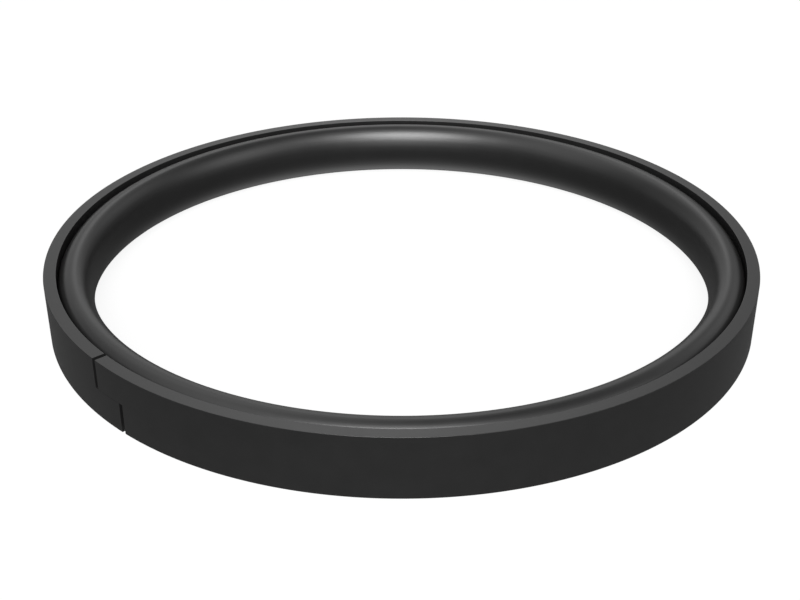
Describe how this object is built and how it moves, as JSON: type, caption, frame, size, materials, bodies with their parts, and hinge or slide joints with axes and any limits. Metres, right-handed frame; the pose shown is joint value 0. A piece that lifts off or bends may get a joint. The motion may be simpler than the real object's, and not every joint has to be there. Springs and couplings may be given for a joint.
{
  "type": "piston seal",
  "caption": "Piston seal with a split, step-cut plastic slide ring around an oval rubber ring that presses it outwards.",
  "frame": {"origin": "centre of the rings, in the plane of the slide ring's lower side face", "axes": "+Z along the seal's axis, from the lower side face to the upper; the middle of the step cut is at 225 degrees from +X towards +Y"},
  "size_m": [0.1, 0.1, 0.0083],
  "materials": {
    "slide_ring": "matte",
    "energiser_ring": "satin"
  },
  "bodies": {
    "root": {"slide_ring": "slide_ring", "energiser_ring": "energiser_ring"}
  },
  "joints": []
}
